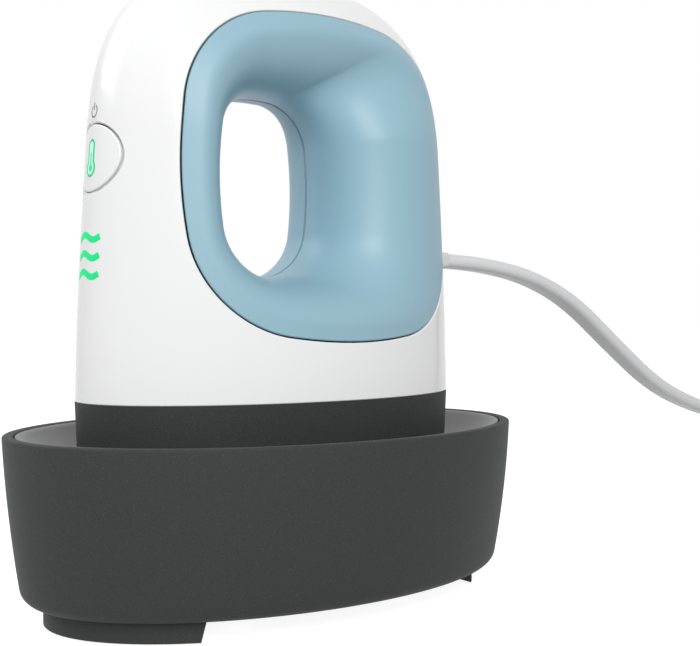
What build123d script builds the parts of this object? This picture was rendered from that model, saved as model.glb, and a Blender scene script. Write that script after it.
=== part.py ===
"""Mini handheld heat press standing in its safety base, as separate pieces.

Frame: millimetres, +Z up, floor at z = 0, the press's front (its button) towards -Y.
The press lifts straight up out of the base. The button on its front travels towards +Y.
"""

from math import radians, sin, sqrt, tan
import os

from build123d import *

os.makedirs("parts", exist_ok=True)

# ---------------------------------------------------------------- driving dimensions
# Base: an oval tray on two crescent feet
foot_height = 5.5
base_top = 38.5
base_bottom_length, base_bottom_width = 113.6, 71.8
rim_length, rim_width = 121.4, 84.2
base_wall = 2.3
base_floor = 2.4
base_corner = 3.0
rim_round = 0.7
foot_inset = 4.25
foot_depth = 15.0
front_foot_end = -31.0
rear_foot_end = 42.5
foot_draft = 1.3
pad_thick, pad_recess, pad_inset = 1.0, 0.6, 2.6
base_post_x, base_post_y, base_post_r = 18.0, 20.0, 4.0
base_screw_head_r, base_screw_head, base_screw_length = 3.0, 1.6, 6.0
# Liner: the tray's inner dish and well
liner_wall = 2.0
liner_gap = 0.35
liner_drop = 0.7
dish_floor = 33.4
well_floor = 13.0
well_gap = 1.4
well_draft = 1.8
rest_pad_x, rest_pad_y = 10.0, 28.0
rest_pad_width, rest_pad_length, rest_pad_corner, rest_pad_round = 8.0, 10.0, 2.0, 0.8
seat_gap = 0.2
# Press, from its sole upwards
sole_z = 24.0
plate_length, plate_width = 84.0, 47.0
sole_flange, plate_body, plate_step = 3.0, 5.0, 2.0
sole_round = 1.0
collar_bottom, collar_top = 27.6, 45.5
collar_taper, collar_wall = 0.8, 2.4
collar_spigot, spigot_gap, spigot_wall = 3.5, 0.15, 1.4
ledge_thick, ledge_reach = 2.0, 2.0
body_length, body_width = 92.0, 51.8
# White body: sides that lean in, then a dome
shoulder_z, crown_z = 101.0, 138.5
side_lean, side_bow, flank_lean = 0.029, 0.0004, 0.006
crown_power, flank_power = 3.05, 1.7
body_wall = 2.2
# Handle opening and the two grip shells
grip_centre_y, grip_centre_z = 2.0, 92.8
grip_half_length, grip_half_height = 35.2, 35.4
grip_corner, grip_bulge = 19.0, 1.6
grip_gap, grip_wall, grip_band, grip_skirt = 0.3, 2.2, 4.0, 5.0
tunnel_front, tunnel_rear = -18.0, 16.0
tunnel_low, tunnel_high = 70.8, 111.6
tunnel_corner = 13.0
flare_start = 5.0
end_mouth_x, low_mouth_x, high_mouth_x = 16.5, 27.0, 18.5
# Button and light windows in the front
button_z = 95.3
button_top_r, button_top_x, button_top_z = 4.7, 4.2, 2.5
button_tip_r, button_tip_z = 3.7, -2.9
button_gap, button_travel = 0.25, 0.8
button_back_y, button_flange, button_lip = -35.6, 1.2, 1.0
guide_width, guide_height, guide_bulb_r, guide_rise = 2.4, 8.0, 1.7, 0.1
wave_pitch, wave_centre_z = 3.75, 75.4
wave_length, wave_height, wave_gap = 11.6, 2.6, 0.15
wave_block_front, wave_block_back, wave_block_edge = -40.4, -30.1, 0.7
# Heater stack
element_r, element_leg_x, element_fit = 2.6, 9.0, 0.1
element_rear_y, element_turn_y = 24.0, -16.0
pin_r, pin_length = 1.1, 7.0
thermistor_y, thermistor_size = -4.0, (5.0, 9.0, 3.2)
fuse_y, fuse_length, fuse_r, fuse_lead, fuse_lead_r = 12.0, 10.0, 1.6, 2.5, 0.5
clip_thick, clip_length, clip_foot, clip_gap = 0.4, 4.0, 4.2, 0.05
sensor_room, blanket_thick, blanket_width, blanket_length = 4.2, 3.0, 38.0, 77.0
shield_thick, shield_width, shield_length = 0.7, 39.6, 79.6
chassis_z, chassis_thick = 41.0, 2.5
standoff_x, standoff_y, standoff_r = 15.0, 18.0, 2.8
plate_screw_r, plate_screw_depth, plate_screw_head_r, plate_screw_head = 1.5, 4.0, 2.8, 2.0
lug_y, lug_edge, lug_r = 28.0, 2.17, 3.7
body_post_height, body_screw_r, body_screw_depth = 6.5, 1.4, 5.0
body_screw_head_r, body_screw_head = 2.6, 1.6
screw_gap, stack_gap, chassis_gap = 0.1, 0.2, 0.2
wire_hole_r, wire_turn = 2.0, 3.5
sensor_hole_y, sensor_hole_r, sensor_turn = -11.0, 1.6, 3.0
# Boards and what they carry
board_thick = 1.6
power_board_z, power_board_length, power_board_width = 51.0, 60.0, 34.0
power_board_corner = 6.0
power_post_x, power_post_y, power_post_r = 14.0, 7.0, 3.0
board_screw_r, board_screw_head_r, board_screw_head, board_screw_depth = 1.1, 2.1, 1.5, 5.0
relay_y, relay_size = 2.0, (15.0, 19.0, 10.0)
transformer_y, transformer_base, transformer_core = -17.0, (16.0, 13.0, 3.0), (12.0, 12.0, 6.0)
terminal_y, terminal_size = 23.0, (13.0, 8.0, 8.0)
capacitor_x, capacitor_y, capacitor_r, capacitor_height = 12.0, 17.0, 4.0, 9.0
buzzer_x, buzzer_y, buzzer_r, buzzer_height = -12.0, 17.0, 4.5, 5.5
control_board_y, control_board_width = -29.0, 24.0
control_board_low, control_board_high = 64.0, 108.0
control_post_x, control_post_low, control_post_high, control_post_r = 9.5, 67.0, 105.0, 2.4
control_board_corner, control_post_depth = 2.0, 5.0
small_screw_r, small_screw_head_r, small_screw_head = 0.9, 1.9, 1.3
switch_size, switch_depth, plunger_r, plunger_length = 6.0, 3.5, 1.7, 1.5
plunger_root, plunger_gap = 0.3, 0.15
chip_z, chip_size, chip_height = 87.0, 8.0, 1.4
led_width, led_height, led_depth, button_led_x = 2.0, 1.6, 0.9, 5.2
ribbon_width, ribbon_thick, ribbon_top = 10.0, 0.8, 72.0
# Mains cord
cord_width, cord_thick = 7.0, 3.4
cord_exit_z = 76.6
boot_tip_y, boot_inner_y = 50.0, 30.0
boot_width, boot_height, boot_lip, boot_lip_thick, boot_gap = 9.6, 5.6, 2.0, 2.0, 0.15
boot_tip_width, boot_tip_height, boot_corner = 7.8, 4.2, 0.38
clamp_width, clamp_height, clamp_thick = 22.0, 11.0, 2.0
clamp_post_x, clamp_post_r, post_notch = 8.4, 2.4, 0.4
coil_x, coil_y = 30.0, 224.0
coil_outer_r, coil_inner_r, coil_height = 45.8, 31.2, 14.0
tie_thick, tie_width, tie_angle = 0.6, 8.0, 60.0
plug_angle, plug_shift = -20.0, -3.0
plug_width, plug_length, plug_height, plug_corner, plug_round = 20.0, 24.0, 13.0, 3.0, 2.0
plug_neck_width, plug_neck_length, plug_neck_height = 11.0, 8.0, 9.0
blade_pitch, blade_thick, blade_length, blade_height = 12.7, 1.5, 17.5, 6.4
wire_r, wire_bend, sensor_wire_r, sensor_bend = 0.9, 2.5, 0.7, 1.6
mains_x, mains_y, mains_bend = 2.0, 23.0, 4.0
# The lead's way from the boot to the coil, (x, y, z)
lead_points = [
    (0.0, 50.0, 76.6),
    (0.0, 63.0, 75.9),
    (0.0, 79.0, 73.2),
    (0.0, 95.0, 66.8),
    (0.0, 112.0, 54.6),
    (0.2, 129.5, 42.6),
    (0.5, 147.0, 36.0),
    (0.0, 164.0, 32.3),
    (-2.3, 180.5, 24.0),
    (-6.0, 197.0, 12.4),
    (-9.3, 211.0, 4.8),
    (-11.6, 223.0, 2.6),
]

# ---------------------------------------------------------------- values worked out from them
plate_top = sole_z + sole_flange + plate_body
element_z = plate_top - 1.0
blanket_z = plate_top + sensor_room
chassis_top = chassis_z + chassis_thick
board_top = power_board_z + board_thick
control_rear_y = control_board_y + board_thick
liner_underside = well_floor - liner_wall
shell_inside = foot_height + base_floor
coil_low = tie_thick
inner_width = body_width / 2 - collar_taper - collar_wall
inner_length = body_length / 2 - collar_taper - collar_wall
lug_x = inner_width * sqrt(1 - (lug_y / inner_length) ** 2) - lug_edge


# ---------------------------------------------------------------- shared forms
def write(part, name):
    """Labels a finished piece and writes its STEP file."""
    part.label = name
    export_step(part, f"parts/{name}.step")


def oval_loft(sections):
    """A smooth solid through ovals given as (z, half width in x, half length in y)."""
    with BuildPart() as solid:
        for z, half_width, half_length in sections:
            with BuildSketch(Plane.XY.offset(z)):
                Ellipse(half_width, half_length)
        loft()
    return solid.part


def oval_slab(low, high, half_width, half_length):
    """A flat oval from one height to another."""
    with BuildPart() as solid:
        with BuildSketch(Plane.XY.offset(low)):
            Ellipse(half_width, half_length)
        extrude(amount=high - low)
    return solid.part


def posts(places, low, high, r):
    """Upright cylinders at (x, y) places."""
    with BuildPart() as solid:
        with BuildSketch(Plane.XY.offset(low)):
            with Locations(*places):
                Circle(r)
        extrude(amount=high - low)
    return solid.part


def block(x, y, low, width, length, height):
    """An upright box, centred on (x, y) and standing on z = low."""
    with BuildPart() as solid:
        with BuildSketch(Plane.XY.offset(low)):
            with Locations((x, y)):
                Rectangle(width, length)
        extrude(amount=height)
    return solid.part


def four(x, y):
    """The four corners (+-x, +-y)."""
    return [(x, y), (-x, y), (-x, -y), (x, -y)]


def screws(places, plane, shank_r, head_r, head_height, length):
    """Cross-head screws whose heads stand on a plane, on the side that it faces."""
    with BuildPart() as solid:
        with BuildSketch(plane):
            with Locations(*places):
                Circle(head_r)
        extrude(amount=head_height)
        with BuildSketch(plane):
            with Locations(*places):
                Circle(shank_r)
        extrude(amount=-length)
        with BuildSketch(plane.offset(head_height)):
            with Locations(*places):
                Rectangle(head_r * 1.2, 0.5)
                Rectangle(0.5, head_r * 1.2)
        extrude(amount=-0.5, mode=Mode.SUBTRACT)
    return solid.part


def lead(points, bend_r, r):
    """A round wire along runs that join in arcs."""
    with BuildPart() as solid:
        with BuildLine() as path:
            FilletPolyline(*points, radius=bend_r)
        with BuildSketch(path.line ^ 0):
            Circle(r)
        sweep()
    return solid.part


def body_half(z, inset=0.0):
    """Half width and half length of the white body's oval section at height z."""
    rise = z - collar_top
    along = body_length / 2 - side_lean * rise - side_bow * rise**2 - inset
    across = body_width / 2 - flank_lean * rise - inset
    u = min(max((z - shoulder_z) / (crown_z - inset - shoulder_z), 0.0), 1.0)
    return (
        across * (1 - u**flank_power) ** (1 / flank_power),
        along * (1 - u**crown_power) ** (1 / crown_power),
    )


def body_solid(inset=0.0):
    """The white body's outer form, or the same form set in by a wall."""
    side = shoulder_z - collar_top
    dome = crown_z - inset - shoulder_z
    levels = [collar_top + side * step / 6 for step in range(7)]
    levels += [shoulder_z + dome * sin(radians(a)) for a in (14, 28, 41, 53, 64, 74, 83)]
    return oval_loft([(z, *body_half(z, inset)) for z in levels])


def grip_outline(inset):
    """The soft square outline of the handle opening, set in by a distance."""
    half_y, half_z = grip_half_length - inset, grip_half_height - inset
    corner_y, corner_z = half_y - grip_bulge, half_z - grip_bulge
    cy, cz = grip_centre_y, grip_centre_z
    with BuildSketch() as outline:
        with BuildLine():
            for side in (1, -1):
                rear, front = (cy + corner_y, cz + side * corner_z), (cy - corner_y, cz + side * corner_z)
                ThreePointArc(rear, (cy, cz + side * half_z), front)
                low, high = (cy + side * corner_y, cz - corner_z), (cy + side * corner_y, cz + corner_z)
                ThreePointArc(low, (cy + side * half_y, cz), high)
        make_face()
        fillet(outline.vertices(), grip_corner - inset)
    return outline.sketch


def outline_prism(inset):
    """The handle opening's outline carried right across the body."""
    with BuildPart() as prism:
        with BuildSketch(Plane.YZ.offset(-body_width)):
            add(grip_outline(inset))
        extrude(amount=2 * body_width)
    return prism.part


def flare(x, mouth_x):
    """0 in the straight tunnel and 1 at the mouth, as a quarter ellipse."""
    u = min(max((x - flare_start) / (mouth_x - flare_start), 0.0), 1.0)
    return 1 - sqrt(1 - u * u)


def funnel(grown=0.0):
    """The hand's way through the handle on the +X side, or the same grown by a wall."""
    reach_y, reach_z = grip_half_length - grip_band, grip_half_height - grip_band
    with BuildPart() as solid:
        for x in (-1.0, 6.0, 9.0, 12.0, 14.0, 15.5, 17.0, 20.0, 24.0, 30.0):
            ends, below, above = (flare(x, mouth) for mouth in (end_mouth_x, low_mouth_x, high_mouth_x))
            front = tunnel_front + (grip_centre_y - reach_y - tunnel_front) * ends - grown
            rear = tunnel_rear + (grip_centre_y + reach_y - tunnel_rear) * ends + grown
            low = tunnel_low + (grip_centre_z - reach_z - tunnel_low) * below - grown
            high = tunnel_high + (grip_centre_z + reach_z - tunnel_high) * above + grown
            with BuildSketch(Plane.YZ.offset(x)):
                with Locations(((front + rear) / 2, (low + high) / 2)):
                    radius = tunnel_corner + 2.5 * (below + above) + grown / 2
                    RectangleRounded(rear - front, high - low, radius)
        loft(ruled=True)
    return solid.part


def button_prism(grown, front_y, back_y):
    """The button's rounded triangle, grown by a distance, from one depth to another."""
    with BuildPart() as prism:
        with BuildSketch(Plane.XZ.offset(-front_y)):
            with Locations((button_top_x, button_z + button_top_z), (-button_top_x, button_z + button_top_z)):
                Circle(button_top_r + grown)
            with Locations((0, button_z + button_tip_z)):
                Circle(button_tip_r + grown)
            make_hull()
        extrude(amount=front_y - back_y)
    return prism.part


def wave_slots(grown, front_y, back_y):
    """The three light windows below the button, from one depth to another."""
    places = [(0, wave_centre_z + step * wave_pitch) for step in (-1, 0, 1)]
    with BuildPart() as slots:
        with BuildSketch(Plane.XZ.offset(-front_y)):
            with Locations(*places):
                SlotOverall(wave_length + 2 * grown, wave_height + 2 * grown)
        extrude(amount=front_y - back_y)
    return slots.part


def base_half(z, inset=0.0):
    """Half width and half length of the base's outer wall at height z: it bows outwards."""
    t = (z - foot_height) / (base_top - foot_height)
    swell = 0.55 * t + 0.45 * (1 - (1 - t) ** 2)
    return (
        base_bottom_width / 2 + swell * (rim_width - base_bottom_width) / 2 - inset,
        base_bottom_length / 2 + swell * (rim_length - base_bottom_length) / 2 - inset,
    )


def steps(low, high, count):
    """Evenly spaced heights from low to high."""
    return [low + (high - low) * step / (count - 1) for step in range(count)]


body_outer = body_solid()
body_inner = body_solid(body_wall)
front_of_body = -body_length / 2 - 2.0
base_posts = four(base_post_x, base_post_y)
plate_screw_places = four(standoff_x, standoff_y)
lug_places = four(lug_x, lug_y)

# ---------------------------------------------------------------- base
with BuildPart() as base_shell:
    add(oval_loft([(z, *base_half(z)) for z in steps(foot_height, base_top, 6)]))
    fillet(base_shell.edges().group_by(Axis.Z)[0], base_corner)
    fillet(base_shell.edges().group_by(Axis.Z)[-1], rim_round)
    inside = [(z, *base_half(z, base_wall)) for z in steps(shell_inside, base_top + 1.0, 6)]
    add(oval_loft(inside), mode=Mode.SUBTRACT)
    add(posts(base_posts, foot_height - 1, shell_inside + 1, body_screw_r + screw_gap), mode=Mode.SUBTRACT)
write(base_shell.part, "base_shell")

flange_z = base_top - liner_drop
well_width, well_length = body_width / 2 + well_gap, body_length / 2 + well_gap
well_narrow_width, well_narrow_length = well_width - well_draft, well_length - well_draft


def dish(drop, grown):
    """The liner's dish, from the well's mouth to the rim: it curves up towards the rim."""
    edge_width, edge_length = base_half(flange_z - drop, base_wall + liner_gap)
    sections = []
    for t in (0.0, 0.35, 0.7, 1.0):
        z = dish_floor + (flange_z - dish_floor) * t**1.6 - drop
        spread_x = well_width + (edge_width - liner_wall / 2 - well_width) * t
        spread_y = well_length + (edge_length - liner_wall / 2 - well_length) * t
        sections.append((z, spread_x + grown, spread_y + grown))
    return sections


with BuildPart() as base_liner:
    add(oval_loft(dish(liner_wall, liner_wall / 2)))
    flange = [(z, *base_half(z, base_wall + liner_gap)) for z in (flange_z - liner_wall, flange_z)]
    add(oval_loft(flange))
    low = liner_underside, well_narrow_width + liner_wall, well_narrow_length + liner_wall
    high = dish_floor - liner_wall / 2, well_width + liner_wall, well_length + liner_wall
    add(oval_loft([low, high]))
    add(posts(base_posts, shell_inside, liner_underside + 1, base_post_r))
    top_width, top_length = base_half(flange_z, base_wall + liner_gap + liner_wall / 4)
    above = flange_z + liner_wall, top_width, top_length
    add(oval_loft(dish(0.0, 0.0) + [above]), mode=Mode.SUBTRACT)
    low = well_floor, well_narrow_width, well_narrow_length
    high = dish_floor + 0.5, well_width, well_length
    add(oval_loft([low, high]), mode=Mode.SUBTRACT)
    holes = posts(base_posts, shell_inside - 1, shell_inside + base_screw_length, body_screw_r)
    add(holes, mode=Mode.SUBTRACT)
write(base_liner.part, "base_liner")


def crescent(end_y, towards, inset, low, high):
    """A foot's crescent: the ring inside the base's bottom oval, beyond end_y."""
    half_width, half_length = base_bottom_width / 2 - foot_inset, base_bottom_length / 2 - foot_inset
    with BuildPart() as solid:
        with BuildSketch(Plane.XY.offset(low)):
            Ellipse(half_width - inset, half_length - inset)
            inner = foot_depth - inset
            Ellipse(half_width - inner, half_length - inner, mode=Mode.SUBTRACT)
            with Locations((0, end_y + towards * (inset + base_bottom_length / 2))):
                Rectangle(base_bottom_width, base_bottom_length, mode=Mode.INTERSECT)
        extrude(amount=high - low)
    return solid.part


foot_low = pad_thick - pad_recess
for foot_name, end_y, towards in (("front_foot", front_foot_end, -1), ("rear_foot", rear_foot_end, 1)):
    with BuildPart() as foot:
        add(crescent(end_y, towards, 0.0, foot_low, foot_height))
        # The end face leans in towards the floor
        slope = (0, -towards * foot_height, -foot_draft)
        lean = Plane(origin=(0, end_y, foot_height), x_dir=(1, 0, 0), z_dir=slope)
        split(bisect_by=lean, keep=Keep.BOTTOM)
        add(crescent(end_y, towards, pad_inset, foot_low, pad_thick), mode=Mode.SUBTRACT)
    write(foot.part, foot_name)

with BuildPart() as foot_pads:
    for end_y, towards in ((front_foot_end, -1), (rear_foot_end, 1)):
        add(crescent(end_y, towards, pad_inset + 0.1, 0.0, pad_thick))
write(foot_pads.part, "foot_pads")

with BuildPart() as rest_pads:
    with BuildSketch(Plane.XY.offset(well_floor)):
        with Locations(*four(rest_pad_x, rest_pad_y)):
            RectangleRounded(rest_pad_width, rest_pad_length, rest_pad_corner)
    extrude(amount=sole_z - seat_gap - well_floor)
    fillet(rest_pads.edges().group_by(Axis.Z)[-1], rest_pad_round)
write(rest_pads.part, "rest_pads")

under_base = Plane(origin=(0, 0, foot_height), x_dir=(1, 0, 0), z_dir=(0, 0, -1))
heads = base_screw_head_r, base_screw_head, base_screw_length
write(screws(base_posts, under_base, body_screw_r, *heads), "base_screws")

# ---------------------------------------------------------------- heat plate and what heats it
with BuildPart() as heat_plate:
    add(oval_slab(sole_z, sole_z + sole_flange, plate_width / 2, plate_length / 2))
    fillet(heat_plate.edges().group_by(Axis.Z)[0], sole_round)
    half_width, half_length = plate_width / 2 - plate_step, plate_length / 2 - plate_step
    add(oval_slab(sole_z + sole_flange, plate_top, half_width, half_length))
    with BuildLine() as groove:
        Polyline((element_leg_x, plate_length / 2, element_z), (element_leg_x, element_turn_y, element_z))
        ThreePointArc(
            (element_leg_x, element_turn_y, element_z),
            (0, element_turn_y - element_leg_x, element_z),
            (-element_leg_x, element_turn_y, element_z),
        )
        Polyline((-element_leg_x, element_turn_y, element_z), (-element_leg_x, plate_length / 2, element_z))
    with BuildSketch(groove.line ^ 0):
        Circle(element_r + element_fit)
    sweep(mode=Mode.SUBTRACT)
    holes = posts(plate_screw_places, plate_top - plate_screw_depth, plate_top + 1, plate_screw_r)
    add(holes, mode=Mode.SUBTRACT)
write(heat_plate.part, "heat_plate")

with BuildPart() as heating_element:
    with BuildLine() as u_path:
        Polyline((element_leg_x, element_rear_y, element_z), (element_leg_x, element_turn_y, element_z))
        ThreePointArc(
            (element_leg_x, element_turn_y, element_z),
            (0, element_turn_y - element_leg_x, element_z),
            (-element_leg_x, element_turn_y, element_z),
        )
        Polyline((-element_leg_x, element_turn_y, element_z), (-element_leg_x, element_rear_y, element_z))
    with BuildSketch(u_path.line ^ 0):
        Circle(element_r)
    sweep()
write(heating_element.part, "heating_element")

with BuildPart() as element_pins:
    with BuildSketch(Plane.XZ.offset(-element_rear_y)):
        with Locations((element_leg_x, element_z), (-element_leg_x, element_z)):
            Circle(pin_r)
    extrude(amount=-pin_length)
write(element_pins.part, "element_pins")

write(block(0, thermistor_y, plate_top, *thermistor_size), "thermistor")

fuse_z = plate_top + fuse_r + clip_gap
fuse_front, fuse_rear = fuse_y - fuse_length / 2, fuse_y + fuse_length / 2
with BuildPart() as thermal_fuse:
    with BuildSketch(Plane.XZ.offset(-fuse_front)):
        with Locations((0, fuse_z)):
            Circle(fuse_r)
    extrude(amount=-fuse_length)
    with BuildSketch(Plane.XZ.offset(fuse_lead - fuse_front)):
        with Locations((0, fuse_z)):
            Circle(fuse_lead_r)
    extrude(amount=-fuse_length - 2 * fuse_lead)
write(thermal_fuse.part, "thermal_fuse")

with BuildPart() as fuse_clip:
    arch_r, leg_z = fuse_r + clip_gap, (plate_top + fuse_z) / 2
    with BuildSketch(Plane.XZ.offset(clip_length / 2 - fuse_y)):
        with Locations((0, fuse_z)):
            Circle(arch_r + clip_thick)
        with Locations((0, leg_z)):
            Rectangle(2 * (arch_r + clip_thick), fuse_z - plate_top)
        with Locations((0, plate_top + clip_thick / 2)):
            Rectangle(2 * clip_foot, clip_thick)
        with Locations((0, fuse_z)):
            Circle(arch_r, mode=Mode.SUBTRACT)
        with Locations((0, leg_z - clip_thick)):
            Rectangle(2 * arch_r, fuse_z - plate_top + 2 * clip_thick, mode=Mode.SUBTRACT)
        with Locations((0, plate_top - fuse_r)):
            Rectangle(2 * clip_foot, 2 * fuse_r, mode=Mode.SUBTRACT)
    extrude(amount=-clip_length)
write(fuse_clip.part, "fuse_clip")

pin_end = element_rear_y + pin_length
wire_places = [(element_leg_x, pin_end + wire_turn), (-element_leg_x, pin_end + wire_turn)]
sensor_places = [(0, sensor_hole_y), (0, fuse_rear + fuse_lead + sensor_turn)]


def stack_holes(low, high):
    """The standoffs', screw lugs' and wires' ways through a sheet of the heater stack."""
    with BuildPart() as holes:
        add(posts(plate_screw_places, low, high, standoff_r + stack_gap))
        add(posts(lug_places, low, high, lug_r + 3 * stack_gap))
        add(posts(wire_places, low, high, wire_hole_r))
        add(posts(sensor_places, low, high, sensor_hole_r))
    return holes.part


with BuildPart() as insulation_blanket:
    add(oval_slab(blanket_z, blanket_z + blanket_thick, blanket_width / 2, blanket_length / 2))
    add(stack_holes(blanket_z - 1, blanket_z + blanket_thick + 1), mode=Mode.SUBTRACT)
write(insulation_blanket.part, "insulation_blanket")

with BuildPart() as heat_shield:
    shield_z = blanket_z + blanket_thick
    add(oval_slab(shield_z, shield_z + shield_thick, shield_width / 2, shield_length / 2))
    add(stack_holes(shield_z - 1, shield_z + shield_thick + 1), mode=Mode.SUBTRACT)
write(heat_shield.part, "heat_shield")

with BuildPart() as plate_standoffs:
    add(posts(plate_screw_places, plate_top, chassis_z, standoff_r))
    add(posts(plate_screw_places, plate_top, chassis_z, plate_screw_r + screw_gap), mode=Mode.SUBTRACT)
write(plate_standoffs.part, "plate_standoffs")

plate_screw_length = chassis_top - plate_top + plate_screw_depth - 0.5
heads = plate_screw_head_r, plate_screw_head, plate_screw_length
write(screws(plate_screw_places, Plane.XY.offset(chassis_top), plate_screw_r, *heads), "plate_screws")

# ---------------------------------------------------------------- collar and chassis
with BuildPart() as heat_collar:
    low = (collar_bottom, body_width / 2 - collar_taper, body_length / 2 - collar_taper)
    add(oval_loft([low, (collar_top, body_width / 2, body_length / 2)]))
    spigot_x, spigot_y = body_half(collar_top, body_wall + spigot_gap)
    add(oval_slab(collar_top, collar_top + collar_spigot, spigot_x - 0.2, spigot_y - 0.3))
    bore = collar_bottom - 1, collar_top + collar_spigot + 1
    add(oval_slab(*bore, inner_width, inner_length), mode=Mode.SUBTRACT)
    ledge = chassis_z - ledge_thick
    add(oval_slab(ledge, chassis_z, inner_width + 0.5, inner_length + 0.5))
    opening = ledge - 1, chassis_z + 1
    add(oval_slab(*opening, inner_width - ledge_reach, inner_length - ledge_reach), mode=Mode.SUBTRACT)
    add(posts(lug_places, ledge, chassis_z, lug_r))
    add(posts(lug_places, ledge - 1, chassis_z + 1, body_screw_r + screw_gap), mode=Mode.SUBTRACT)
    add(posts(lug_places, collar_bottom - 1, ledge, body_screw_head_r + stack_gap), mode=Mode.SUBTRACT)
    add(posts(lug_places, chassis_z, bore[1], lug_r + spigot_gap), mode=Mode.SUBTRACT)
write(heat_collar.part, "heat_collar")

power_posts = four(power_post_x, power_post_y)
with BuildPart() as chassis:
    add(oval_slab(chassis_z, chassis_top, inner_width - chassis_gap, inner_length - chassis_gap))
    add(posts(power_posts, chassis_top, power_board_z, power_post_r))
    add(posts(power_posts, chassis_top, power_board_z + 1, board_screw_r), mode=Mode.SUBTRACT)
    through = chassis_z - 1, chassis_top + 1
    add(posts(plate_screw_places, *through, plate_screw_r + screw_gap), mode=Mode.SUBTRACT)
    add(posts(lug_places, *through, body_screw_r + screw_gap), mode=Mode.SUBTRACT)
    add(posts(wire_places, *through, wire_hole_r), mode=Mode.SUBTRACT)
    add(posts(sensor_places, *through, sensor_hole_r), mode=Mode.SUBTRACT)
write(chassis.part, "chassis")

under_ledge = Plane(origin=(0, 0, ledge), x_dir=(1, 0, 0), z_dir=(0, 0, -1))
heads = body_screw_head_r, body_screw_head, ledge_thick + chassis_thick + body_screw_depth
write(screws(lug_places, under_ledge, body_screw_r, *heads), "chassis_screws")

# ---------------------------------------------------------------- white body and grips
control_heights = control_post_low, control_post_high
control_places = [(x, z) for x in (control_post_x, -control_post_x) for z in control_heights]
clamp_places = [(clamp_post_x, cord_exit_z), (-clamp_post_x, cord_exit_z)]
led_places = [(0, wave_centre_z + step * wave_pitch) for step in (-1, 0, 1)] + [(button_led_x, button_z)]


def along_y(places, r, start, end):
    """Cylinders along Y at (x, z) places, from one depth to another."""
    with BuildPart() as solid:
        with BuildSketch(Plane.XZ.offset(-start)):
            with Locations(*places):
                Circle(r)
        extrude(amount=start - end)
    return solid.part


with BuildPart() as inner_posts:
    add(posts(lug_places, collar_top - 1, chassis_top + body_post_height, lug_r))
    add(along_y(control_places, control_post_r, control_board_y, front_of_body))
    add(along_y(clamp_places, clamp_post_r, boot_inner_y, -front_of_body))
    add(body_outer, mode=Mode.INTERSECT)
    add(posts(lug_places, chassis_top, collar_top, lug_r))

with BuildPart() as housing:
    add(body_outer)
    add(body_inner, mode=Mode.SUBTRACT)
    add(outline_prism(0.0), mode=Mode.SUBTRACT)
    add(inner_posts.part)
    add(posts(lug_places, chassis_top - 1, chassis_top + body_screw_depth, body_screw_r), mode=Mode.SUBTRACT)
    add(button_prism(button_gap, front_of_body, button_back_y - button_flange), mode=Mode.SUBTRACT)
    add(wave_slots(wave_gap, front_of_body, wave_block_front), mode=Mode.SUBTRACT)
    with BuildSketch(Plane.XZ.offset(front_of_body)):
        with Locations((0, cord_exit_z)):
            RectangleRounded(boot_width + 2 * boot_gap, boot_height + 2 * boot_gap, boot_height * boot_corner)
    extrude(amount=boot_inner_y - front_of_body, mode=Mode.SUBTRACT)
    depth = control_board_y - control_post_depth
    add(along_y(control_places, small_screw_r, control_board_y + 1, depth), mode=Mode.SUBTRACT)
    depth = boot_inner_y + control_post_depth
    add(along_y(clamp_places, small_screw_r, boot_inner_y - 1, depth), mode=Mode.SUBTRACT)
write(housing.part, "housing")

with BuildPart() as grip:
    add(body_outer)
    add(outline_prism(grip_gap), mode=Mode.INTERSECT)
    add(block(body_width / 2, 0, 0, body_width, 2 * body_length, 2 * crown_z), mode=Mode.INTERSECT)
    add(funnel(), mode=Mode.SUBTRACT)
    add((body_inner & outline_prism(grip_gap + grip_wall)) - funnel(grip_wall), mode=Mode.SUBTRACT)
    add(body_solid(grip_skirt) - funnel(grip_wall), mode=Mode.SUBTRACT)
    # The skirt is notched for the posts that carry the control board and the cord clamp
    add(along_y(clamp_places, clamp_post_r + post_notch, boot_inner_y, body_length / 2), mode=Mode.SUBTRACT)
    notches = along_y(control_places, control_post_r + post_notch, -body_length / 2, control_board_y)
    add(notches, mode=Mode.SUBTRACT)
write(grip.part, "grip_right")
write(mirror(grip.part, about=Plane.YZ), "grip_left")

# ---------------------------------------------------------------- button, switch and lights
with BuildPart() as light_way:
    with BuildSketch(Plane.XZ.offset(-front_of_body)):
        with Locations((0, button_z + guide_rise)):
            SlotOverall(guide_height, guide_width, rotation=90)
        with Locations((0, button_z + guide_rise - guide_height / 2 + guide_bulb_r)):
            Circle(guide_bulb_r)
    extrude(amount=front_of_body - button_back_y)
    add(body_outer, mode=Mode.INTERSECT)

switch_front = control_board_y - switch_depth - plunger_length
with BuildPart() as button_cap:
    add(button_prism(0.0, front_of_body, button_back_y))
    add(body_outer, mode=Mode.INTERSECT)
    add(button_prism(button_lip, button_back_y - button_flange, button_back_y))
    add(light_way.part, mode=Mode.SUBTRACT)
    add(along_y([(0, button_z)], plunger_r + 0.5, button_back_y, switch_front - screw_gap))
write(button_cap.part, "button_cap")
write(light_way.part, "button_light_guide")

with BuildPart() as wave_light_guide:
    add(wave_slots(0.0, front_of_body, wave_block_front))
    add(body_outer, mode=Mode.INTERSECT)
    with BuildSketch(Plane.XZ.offset(-wave_block_front)):
        with Locations((0, wave_centre_z)):
            edge = wave_height + 2 * wave_block_edge
            Rectangle(wave_length + 2 * wave_block_edge, 2 * wave_pitch + edge)
    extrude(amount=wave_block_front - wave_block_back)
write(wave_light_guide.part, "wave_light_guide")

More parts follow.
